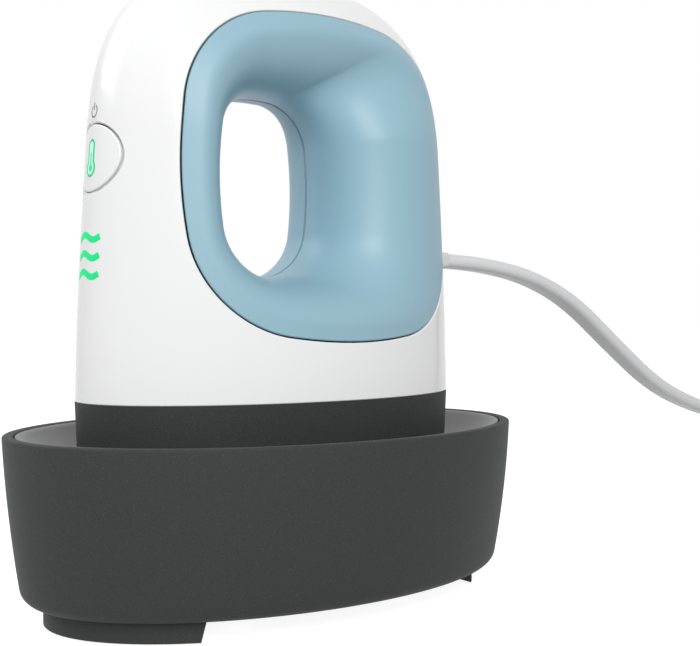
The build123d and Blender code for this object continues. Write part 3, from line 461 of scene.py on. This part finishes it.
def housing_half():
    """The +X half between the grip's opening and the body's outer lines, as rows from one to the other.

    In (turn, climb) each column runs straight from the opening to its partner on the outer line: the
    bottom edge, the rear line round the boot's hole, the crown, and the front line round the button."""
    crown_climb = shoulder + dome * pi / 2
    hole_w, hole_h, hole_r = boot_hole
    arc = np.linspace(-pi / 2, pi / 2, 201)
    boot_x = np.clip(hole_w - hole_r + hole_r * np.cos(arc), 0, None)
    boot_rise = boot_z + np.sign(np.sin(arc)) * (hole_h - hole_r) + hole_r * np.sin(arc)
    boot = np.stack([np.concatenate([[0], boot_x, [0]]),
                     np.concatenate([[boot_z - hole_h], boot_rise, [boot_z + hole_h]])], axis=1)
    button = button_outline(button_gap, end=-pi / 2)

    def line(start, end, count):
        return np.linspace(start, end, count + 1)[:-1]

    def hole(run, count, side):
        steps = loop_steps(run, count)
        climb = climb_to(steps[:, 1])
        return np.stack([side * np.arccos(np.clip(steps[:, 0] / body_half(climb)[0], 0, 1)), climb], axis=1)

    def edge(turn, low, high, count):
        climb = line(float(climb_to(low)), float(climb_to(high)), count)
        return np.stack([np.full(count, turn), climb], axis=1)

    # The heights on the opening between which its columns end on the boot's hole and on the button's
    boot_low, boot_high, button_high, button_low = 69, 86, 110, 80
    low_rear, high_rear = opening.angle_at(boot_low, True), opening.angle_at(boot_high, True)
    high_front, low_front = opening.angle_at(button_high, False), opening.angle_at(button_low, False)
    stretches = [
        (5 * pi / 4, 7 * pi / 4, np.stack([line(-pi / 2, pi / 2, 56), np.full(56, collar_top)], axis=1)),
        (-pi / 4, low_rear, edge(pi / 2, collar_top, boot_z - hole_h, 16)),
        (low_rear, high_rear, hole(boot, 20, 1)),
        (high_rear, pi / 4, edge(pi / 2, boot_z + hole_h, crown, 30)),
        (pi / 4, 3 * pi / 4, np.stack([line(pi / 2, -pi / 2, 48), np.full(48, crown_climb)], axis=1)),
        (3 * pi / 4, high_front, edge(-pi / 2, crown, button[0, 1], 22)),
        (high_front, low_front, hole(button, 40, -1)),
        (low_front, 5 * pi / 4, edge(-pi / 2, button[-1, 1], collar_top, 22)),
    ]
    inner, outer = [], []
    for start, end, run in stretches:
        angles = opening.even(start, end, len(run))
        y, z = opening.at(angles).T
        climb = climb_to(z)
        inner.append(np.stack([side_turn(y, climb), climb], axis=1))
        outer.append(run)
    inner, outer = np.concatenate(inner), np.concatenate(outer)
    share = np.linspace(0, 1, 37)[:, None, None]
    return body_point(*np.moveaxis(inner + share * (outer - inner), -1, 0))


half = housing_half()
half_faces = grid_faces(*half.shape[:2])
both = np.concatenate([half.reshape(-1, 3), half.reshape(-1, 3) * (-1, 1, 1)])
body_white = finish("body_white", paint(245, 246, 246), paint(247, 247, 247), 0.2, drift=30, grain=900,
                    depth=0.0015, gloss_drift=0.04, Coat_Weight=0.2, Coat_Roughness=0.08)
both_faces = np.concatenate([half_faces[:, ::-1], half_faces + len(both) // 2])
housing = make_piece("housing_shell", both, both_faces, body_white, "press", ["housing"])
thicken(housing, body_wall, edge_round)

# ============================================================ the two grips
# A soft-touch blue shell fills the opening on each side: a band flush with the body, then a
# funnel for the fingers. The two meet in a fine seam at the middle of the tunnel.
grip_gap, grip_band, crease, crease_share = 0.3, 4.0, 1.3, 0.07
funnel_start, funnel_deep = radians(14.0), 0.8
square_front, square_rear, square_top, square_low = 1.84, 2.2, 2.4, 2.47
grip_wall, grip_round, seam_half = 1.6, 0.35, 0.03
tunnel = SoftSquare(13.94, 19.56, 2.0, 11.46, (-5.1, 91.24))


def side_skin(points):
    """(y, z) points carried out to the body's surface on its +X side."""
    climb = climb_to(points[..., 1])
    return body_point(side_turn(points[..., 0], climb), climb)


def funnel(angles, share):
    """The funnel from the band's inner line, share 0, to the tunnel's line, share 1. On the way sideways
    it sinks to the tunnel's depth as a superellipse, (sideways)^n + (depth)^n = 1, that starts a little
    past its rim, with its own n at the front, rear, top and bottom. It sinks from the body's swelling
    surface, but at the top from the rim's own depth, so the roof of the hole is steeper."""
    across, up = np.cos(angles), np.sin(angles)
    power = across**2 * np.where(across > 0, square_rear, square_front)
    power += up**2 * np.where(up > 0, square_top, square_low)
    phi = funnel_start + (pi / 2 - funnel_start) * share[:, None]
    low, high = sin(funnel_start) ** (2 / power), cos(funnel_start) ** (2 / power)
    sideways = (np.sin(phi) ** (2 / power) - low) / (1 - low)
    height = np.clip(np.cos(phi), 0, 1) ** (2 / power) / high
    rim = opening.at(angles, grip_gap + grip_band)
    yz = rim + (tunnel.at(angles) - rim) * sideways[..., None]
    swell = across**2 + np.where(up > 0, 0.0, up**2)
    start = side_skin(rim)[..., 0]
    x = funnel_deep + (start + swell * (side_skin(yz)[..., 0] - start) - funnel_deep) * height
    return np.concatenate([x[..., None], yz], axis=-1)


def grip_surface():
    """Rows from the outline inwards: the band, a rounded crease, the funnel and the straight tunnel."""
    angles = opening.even(0, 2 * pi, 240)
    insets = np.linspace(grip_gap, grip_gap + grip_band - crease, 7)
    band = side_skin(np.stack([opening.at(angles, inset) for inset in insets]))
    inner = funnel(angles, np.linspace(crease_share, 1, 30))
    corner = funnel(angles, np.zeros(1))[0]
    t = np.linspace(0, 1, 8)[1:-1, None, None]
    rounded = (1 - t) ** 2 * band[-1] + 2 * t * (1 - t) * corner + t**2 * inner[0]
    ends = inner[-1] * (0, 1, 1) + np.linspace(funnel_deep, seam_half, 6)[1:, None, None] * (1, 0, 0)
    return np.concatenate([band, rounded, inner, ends])


grip_rows = grip_surface()
grip_faces = grid_faces(*grip_rows.shape[:2])
grip_blue = finish("grip_blue", paint(147, 185, 201), paint(153, 190, 205), 0.42, drift=40, grain=2200,
                   depth=0.006, gloss_drift=0.06)
for name, side, faces in (("grip_right", 1, grip_faces), ("grip_left", -1, grip_faces[:, ::-1])):
    grip = make_piece(name + "_shell", grip_rows * (side, 1, 1), faces, grip_blue, "press",
                      [name])
    thicken(grip, grip_wall, grip_round)

# ============================================================ the button and its thermometer light
# A white oval, flush in the front with a fine gap, clicks a switch behind it. A lit
# thermometer shows in it: a green line round a pale window, with a green column inside.
button_wall, bulb_z, inlay_root = 2.4, button_z - 2.0, 0.12
button_line = loop_steps(button_outline(), 120)
button_middle = np.array([0, button_z])
flat = button_middle + np.linspace(0, 1, 14)[:, None, None] * (button_line - button_middle)
button_faces = grid_faces(14, 120)
button = make_piece("button_face", front_skin(flat[..., 0], flat[..., 1]), button_faces, body_white,
                    "button", ["button_cap"])
thicken(button, button_wall, edge_round)


def lit(name, colour, strength, gloss):
    """A light guide that glows: its own colour, given off evenly with a slow drift in brightness."""
    dim = tuple(0.9 * c for c in colour[:3]) + (1.0,)
    unlit = tuple(0.1 * c for c in colour[:3]) + (1.0,)
    material = finish(name, unlit, unlit, gloss, drift=500, grain=2000, depth=0.002)
    material.node_tree.nodes["Principled BSDF"].inputs["Specular IOR Level"].default_value = 0.15
    tree = material.node_tree
    place, cloud = tree.nodes.new("ShaderNodeTexCoord"), tree.nodes.new("ShaderNodeTexNoise")
    ramp, shader = tree.nodes.new("ShaderNodeMix"), tree.nodes["Principled BSDF"]
    cloud.inputs["Scale"].default_value = 300.0
    ramp.data_type = "RGBA"
    ramp.inputs["A"].default_value, ramp.inputs["B"].default_value = colour, dim
    tree.links.new(place.outputs["Object"], cloud.inputs["Vector"])
    tree.links.new(cloud.outputs["Fac"], ramp.inputs["Factor"])
    tree.links.new(ramp.outputs["Result"], shader.inputs["Emission Color"])
    shader.inputs["Emission Strength"].default_value = strength
    return material


def keyhole(half, bulb, top):
    """A thermometer's outline as (x, z), from the right of its bulb: up, round the top, down and round the
    bulb. Equal counts on each stretch match one keyhole's points to another's."""
    count = 16
    join = np.arccos(half / bulb)
    share = np.arange(count) / count
    foot, head = bulb_z + bulb * np.sin(join), top - half
    arc, around = pi * share, pi - join + (pi + 2 * join) * np.arange(3 * count) / (3 * count)
    x = [np.full(count, half), half * np.cos(arc), np.full(count, -half), bulb * np.cos(around)]
    z = [foot + (head - foot) * share, head + half * np.sin(arc), head + (foot - head) * share,
         bulb_z + bulb * np.sin(around)]
    return np.stack([np.concatenate(x), np.concatenate(z)], axis=1)


def inlay(name, lines, proud, material, body, replaced=(), closed=True):
    """A thin plate between two lines of (x, z) points, laid on the body's front and standing proud."""
    share = np.linspace(0, 1, 5)[:, None, None]
    flat = lines[0] + share * (lines[1] - lines[0])
    points = front_skin(flat[..., 0], flat[..., 1], proud)
    plate = make_piece(name, points, grid_faces(*points.shape[:2], closed), material, body, replaced,
                       weld=0.0005)
    thicken(plate, proud + inlay_root)


def spine(line, half, top):
    """The middle line of a keyhole, one point for each of its outline's."""
    return np.stack([np.zeros(len(line)), np.clip(line[:, 1], bulb_z, top - half)], axis=1)


glow_green = lit("glow_green", paint(0, 230, 140), 0.95, 0.5)
glow_line = lit("glow_line", paint(20, 212, 146), 0.85, 0.5)
glow_mint = lit("glow_mint", paint(205, 252, 232), 0.9, 0.5)
stem_half, bulb_r, head_z, stroke = 1.35, 1.9, button_z + 3.9, 0.5
column_half, column_bulb, column_z = 0.22, 0.75, button_z + 1.2
outer_line = keyhole(stem_half, bulb_r, head_z)
inner_line = keyhole(stem_half - stroke, bulb_r - stroke, head_z - stroke)
column = keyhole(column_half, column_bulb, column_z)
inlay("thermometer_line", (outer_line, inner_line), 0.05, glow_line, "button",
      ["button_light_guide"])
inlay("thermometer_window", (inner_line, spine(inner_line, stem_half, head_z)), 0.03, glow_mint,
      "button")
inlay("thermometer_column", (column, spine(column, column_half, column_z)), 0.06, glow_green,
      "button")

# ============================================================ the power mark and the three heat waves
# Above the button a broken ring and bar are printed in grey. Below it three wavy light
# windows in the shell glow green while the plate is hot.
mark_grey = finish("mark_grey", paint(92, 95, 97), paint(100, 103, 104), 0.45, drift=300, grain=2500,
                   depth=0.004)
mark_z, mark_r, mark_half, mark_proud = button_z + 9.6, 1.25, 0.16, 0.02
mark_open, bar_low, bar_high = 36, 0.15, 1.75
arc = np.linspace(radians(90 + mark_open), radians(450 - mark_open), 49)
ring = np.stack([np.cos(arc), np.sin(arc)], axis=1)
inlay("power_ring", ((0, mark_z) + ring * (mark_r + mark_half), (0, mark_z) + ring * (mark_r - mark_half)),
      mark_proud, mark_grey, "press", closed=False)
bar = np.stack([np.zeros(9), np.linspace(mark_z + bar_low, mark_z + bar_high, 9)], axis=1)
inlay("power_bar", (bar + (mark_half, 0), bar - (mark_half, 0)), mark_proud, mark_grey, "press",
      closed=False)

wave_heights, wave_swing, wave_length, wave_stroke = (79.15, 75.4, 71.65), 0.54, 7.3, 1.35
wave_start, wave_end, wave_crest, wave_proud = -4.0, 4.7, -0.95, 0.04
for number, height in enumerate(wave_heights):
    x = np.linspace(wave_start, wave_end, 73)
    phase = 2 * pi * (x - wave_crest) / wave_length
    middle = np.stack([x, height + wave_swing * np.cos(phase)], axis=1)
    slope = -wave_swing * 2 * pi / wave_length * np.sin(phase)
    across = np.stack([-slope, np.ones(len(x))], axis=1) / np.sqrt(1 + slope**2)[:, None]
    reach = across * wave_stroke / 2
    inlay(f"heat_wave_{number + 1}", (middle - reach, middle + reach), wave_proud, glow_green,
          "press", ["wave_light_guide"] if number == 0 else [], closed=False)
coat(glow_green, "indicator_leds")

# ============================================================ the boards and wires inside
# A green power board with its relay, transformer, terminals and capacitor, a control board
# behind the button, and silicone-covered wires between them.
board_green = finish("board_green", paint(28, 92, 54), paint(36, 112, 64), 0.35, drift=700, grain=500,
                     depth=0.03, flecks=0.8, fleck=paint(60, 140, 84), Coat_Weight=0.4)
coat(board_green, "power_board control_board")
terminal_green = finish("terminal_green", paint(60, 150, 92), paint(70, 162, 100), 0.45, drift=300,
                        grain=1800, depth=0.02)
coat(terminal_green, "terminal_block")
wire_red = finish("wire_red", paint(186, 70, 56), paint(170, 60, 48), 0.6, drift=300, grain=2400,
                  depth=0.02)
wire_white = finish("wire_white", paint(214, 212, 206), paint(198, 196, 190), 0.6, drift=300, grain=2400,
                    depth=0.02)
coat(wire_red, "element_wires")
coat(wire_white, "sensor_wires mains_wires ribbon_cable")

# ============================================================ the mains cord
# A flat two-core lead in soft light grey vinyl, 7 wide and 3.4 thick and 1.8 m long. It leaves
# the body through a moulded boot, bends down to the table and is wound in a tied ring there.
cord_grey = finish("cord_grey", paint(221, 222, 223), paint(227, 228, 229), 0.42, drift=90, grain=1600,
                   depth=0.01, gloss_drift=0.1, Subsurface_Weight=0.05, Subsurface_Scale=0.002)
section_turn = np.linspace(0, 2 * pi, 65)[:-1]


def rounded_square(angle):
    """A rounded square of half size 1 as (across, up): a superellipse with power 4."""
    across, up = np.cos(angle), np.sin(angle)
    return np.sign(across) * abs(across) ** 0.5, np.sign(up) * abs(up) ** 0.5


# The boot as (y, share of its full section): most of it inside the body, tapering to the cord past the wall
boot_half = (4.75, 2.8)
boot_profile = np.array([(30.3, 0.0), (30.3, 1.0), (44.6, 1.0), (45.3, 0.95), (46.0, 0.86), (46.8, 0.79),
                         (48.0, 0.75), (49.2, 0.73), (49.5, 0.66), (49.5, 0.0)])
boot_ring = np.stack(rounded_square(section_turn), axis=1) * boot_half
boot_x, boot_up = np.moveaxis(boot_profile[:, 1, None, None] * boot_ring, -1, 0)
boot_rows = np.stack([boot_x, boot_profile[:, :1] + 0 * boot_x, boot_z + boot_up], -1)
make_piece("cord_boot", boot_rows, grid_faces(*boot_rows.shape[:2])[:, ::-1], cord_grey, "press",
           ["strain_relief"])
# The cord's way out of the body and down to its ring, in metres
exit_point = (0.0, 0.045, 0.0767)
lead_points = np.array([
    (0.0, 0.050, 0.0766), (0.0, 0.063, 0.0759), (0.0, 0.079, 0.0732), (0.0, 0.095, 0.0668),
    (0.0, 0.112, 0.0546), (0.0002, 0.1295, 0.0426), (0.0005, 0.147, 0.036), (0.0, 0.164, 0.0323),
    (-0.0023, 0.1805, 0.024), (-0.006, 0.197, 0.0124), (-0.0093, 0.211, 0.0048), (-0.0116, 0.223, 0.0026)])
ring_centre, ring_low, layer = np.array([30.0, 224.0]), 0.6, 3.45
cord_half, cord_thin, groove_deep = 3.5, 1.7, 0.16
ring_start, ring_end, ring_step = 20, 2289, 22.4
# Way round the ring in degrees, clockwise from its left side, with the radius and layer there: each turn
# steps across or up a little before the last one did
winding = np.array([
    (0, 42, 0), (337, 42, 0), (360, 35, 0), (674, 35, 0), (697, 35, 1), (1011, 35, 1), (1034, 42, 1),
    (1348, 42, 1), (1371, 42, 2), (1685, 42, 2), (1708, 35, 2), (2022, 35, 2), (2045, 35, 3),
    (2240, 35.5, 3), (2288, 38.5, 3)], float)
plug_turn, plug_r, plug_high, plug_middle = radians(-20.0), 38.5, 14.6, 6.5
plug_tail, plug_face = 17.0, -15.0


def ring_points():
    """The turns as control points, 22.4 degrees apart: a circle whose radius and height follow the winding.
    The curve runs inside its points by the cosine of half a step, so they stand that much further out."""
    way = np.arange(ring_start, ring_end, ring_step)
    angle = radians(180) - np.radians(way)
    radius = np.interp(way, winding[:, 0], winding[:, 1]) / cos(radians(ring_step / 2))
    z = ring_low + layer * (0.5 + np.interp(way, winding[:, 0], winding[:, 2]))
    flat = ring_centre + radius[:, None] * np.stack([np.cos(angle), np.sin(angle)], axis=1)
    return np.column_stack([flat, z])


def on_plug(points):
    """Points given beside the plug as (out from the ring, along the plug, up from the ring's top)."""
    x, y, z = np.moveaxis(np.asarray(points, float), -1, 0)
    turned = np.stack([x * cos(plug_turn) - y * sin(plug_turn),
                       x * sin(plug_turn) + y * cos(plug_turn)], axis=-1)
    return np.concatenate([ring_centre + turned, (z + plug_high)[..., None]], axis=-1)


last_bend = on_plug([(31.5, 38.0, -0.4), (37.2, 30.5, 2.6), (38.6, 23.5, 5.6),
                     (plug_r, plug_tail, plug_middle), (plug_r, plug_tail - 4.0, plug_middle)])
control = np.concatenate([[exit_point], lead_points, ring_points() * MM, last_bend * MM])
route = bpy.data.curves.new("cord_route", "CURVE")
route.dimensions, route.resolution_u = "3D", 8
spline = route.splines.new("NURBS")
spline.points.add(len(control) - 1)
spline.points.foreach_set("co", np.column_stack([control, np.ones(len(control))]).ravel())
spline.order_u, spline.use_endpoint_u = 3, True
carrier = bpy.data.objects.new("cord_route", route)
scene.collection.objects.link(carrier)
bpy.context.view_layer.update()
line_mesh = bpy.data.meshes.new_from_object(carrier)
cord_line = np.zeros(len(line_mesh.vertices) * 3)
line_mesh.vertices.foreach_get("co", cord_line)
cord_line = cord_line.reshape(-1, 3) / MM
bpy.data.objects.remove(carrier)


def tube(path, section):
    """A section carried along a path: its x lies level, square to the path, and its y points up from it.
    Both ends close on the path."""
    ahead = np.gradient(path, axis=0)
    ahead /= np.linalg.norm(ahead, axis=1, keepdims=True)
    level = np.cross(ahead, (0, 0, 1))
    level /= np.linalg.norm(level, axis=1, keepdims=True)
    over = np.cross(level, ahead)
    rings = path[:, None] + section[:, :1] * level[:, None] + section[:, 1:] * over[:, None]
    caps = [np.repeat(path[[end]][None], len(section), axis=1) for end in (0, -1)]
    return np.concatenate([caps[0], rings, caps[1]])


round_about = np.linspace(0, 2 * pi, 41)[:-1]
level_out = np.sign(np.cos(round_about)) * (cord_half - cord_thin) + cord_thin * np.cos(round_about)
groove = 1 - groove_deep * np.exp(-level_out**2)
cord_section = np.stack([level_out, cord_thin * np.sin(round_about) * groove], axis=1)
cord_rings = tube(cord_line, cord_section)
cord = make_piece("mains_cord", cord_rings, grid_faces(len(cord_rings), len(cord_section))[:, ::-1],
                  cord_grey, None, ["cord_lead", "cord_coil"])
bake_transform(cord)

# ============================================================ the plug and the ring's tie
# A moulded two-pin plug, waisted for the fingers, its tail ribbed so that it bends with the
# cord; a band of hook-and-loop tape holds the ring.
rib_from, rib_to, rib_pitch, rib_high = 9.6, 16.4, 2.1, 0.35


def plug_surface():
    """Rounded-square sections along the plug, each a superellipse with its own half width and height."""
    profile = np.array([(plug_tail, 4.2, 2.8), (rib_to, 5.0, 3.5), (rib_from, 5.5, 4.4), (8.2, 8.6, 5.8),
                        (5.5, 9.4, 6.3), (0.0, 8.6, 5.6), (-5.0, 8.9, 5.8), (-11.0, 9.8, 6.4),
                        (-14.0, 9.9, 6.5), (plug_face, 9.3, 5.9)])
    along = np.linspace(plug_tail, plug_face, 97)
    wide, high = (np.interp(-along, -profile[:, 0], profile[:, k]) for k in (1, 2))
    ribs = rib_high * np.sign(np.sin(2 * pi * (along - rib_from) / rib_pitch))
    ribs = np.where((along > rib_from) & (along < rib_to), ribs, 0)
    x, z = rounded_square(section_turn)
    rings = np.stack([(wide + ribs)[:, None] * x, np.repeat(along[:, None], len(x), axis=1),
                      (high + ribs)[:, None] * z], axis=-1)
    caps = [np.zeros((1, len(x), 3)) + (0, y, 0) for y in (plug_tail, plug_face)]
    return on_plug(np.concatenate([caps[0], rings, caps[1]]) + (plug_r, 0, plug_middle))


plug_rings = plug_surface()
plug = make_piece("plug_moulding", plug_rings, grid_faces(*plug_rings.shape[:2]), cord_grey, "base",
                  ["plug_body"])
blade_brass = finish("blade_brass", paint(206, 178, 110), paint(190, 160, 96), 0.25, drift=200, grain=3000,
                     depth=0.004, Metallic=1.0)
coat(blade_brass, "plug_blades")
tie_black = finish("tie_black", paint(34, 34, 36), paint(46, 46, 48), 0.85, drift=800, grain=2600,
                   depth=0.15, flecks=0.5, fleck=paint(66, 66, 68), Sheen_Weight=0.3)
coat(tie_black, "cord_tie")

# ============================================================ the table, the lamps and the air
# A pale matt table under even studio light, with a strong soft lamp at the press's right and
# a weaker one at its front left. Table and air show white, and the table keeps a shadow.
table_half, table_lift, air_light, lamp_aim = 3.0, 0.9, 0.28, 0.08


def seen_directly(tree):
    """1 for a ray from the eye, a mirror or a glass, and 0 for the light that falls on things."""
    path = tree.nodes.new("ShaderNodeLightPath")
    total = None
    for ray in ("Is Camera Ray", "Is Glossy Ray", "Is Transmission Ray"):
        if total is None:
            total = path.outputs[ray]
            continue
        most = tree.nodes.new("ShaderNodeMath")
        most.operation = "MAXIMUM"
        tree.links.new(total, most.inputs[0])
        tree.links.new(path.outputs[ray], most.inputs[1])
        total = most.outputs[0]
    return total


table_mesh = bpy.data.meshes.new("table")
edge = np.array([(-1, -1, 0), (1, -1, 0), (1, 1, 0), (-1, 1, 0)]) * table_half
table_mesh.from_pydata(edge.tolist(), [], [(0, 1, 2, 3)])
table = bpy.data.objects.new("table", table_mesh)
scene.collection.objects.link(table)
table_white = finish("table_white", paint(196, 196, 196), paint(192, 192, 192), 0.9, drift=4, grain=400,
                     depth=0.01)
tree = table_white.node_tree
shader = tree.nodes["Principled BSDF"]
shader.inputs["Specular IOR Level"].default_value = 0.0
shader.inputs["Emission Color"].default_value = (1, 1, 1, 1)
lift = tree.nodes.new("ShaderNodeMath")
lift.operation = "MULTIPLY"
lift.inputs[1].default_value = table_lift
tree.links.new(seen_directly(tree), lift.inputs[0])
tree.links.new(lift.outputs[0], shader.inputs["Emission Strength"])
table_mesh.materials.append(table_white)

air = bpy.data.worlds.new("air")
air.use_nodes = True
scene.world = air
tree = air.node_tree
level = tree.nodes.new("ShaderNodeMapRange")
level.inputs["To Min"].default_value, level.inputs["To Max"].default_value = air_light, 1.0
tree.links.new(seen_directly(tree), level.inputs["Value"])
tree.nodes["Background"].inputs["Color"].default_value = (1, 1, 1, 1)
tree.links.new(level.outputs["Result"], tree.nodes["Background"].inputs["Strength"])


def lamp(name, azimuth, height, far, size, watts):
    """A square soft lamp that looks at the press's middle, placed by angle, distance in metres and power;
    lamp_aim is that middle's height in metres."""
    turn, rise = radians(azimuth), radians(height)
    away = np.array([sin(turn) * cos(rise), -cos(turn) * cos(rise), sin(rise)])
    light = bpy.data.lights.new(name, "AREA")
    light.shape, light.size, light.energy = "SQUARE", size, watts
    holder = bpy.data.objects.new(name, light)
    sideways = np.array([cos(turn), sin(turn), 0.0])
    pose = np.eye(4)
    place = away * far + np.array([0, 0, lamp_aim])
    pose[:3] = np.column_stack([sideways, np.cross(away, sideways), away, place])
    holder.matrix_world = Matrix(pose)
    scene.collection.objects.link(holder)


lamp("key_lamp", 66, 28, 0.9, 0.5, 5.7)
lamp("left_lamp", -38, 36, 0.9, 0.5, 2.7)
scene.view_settings.view_transform = "Standard"
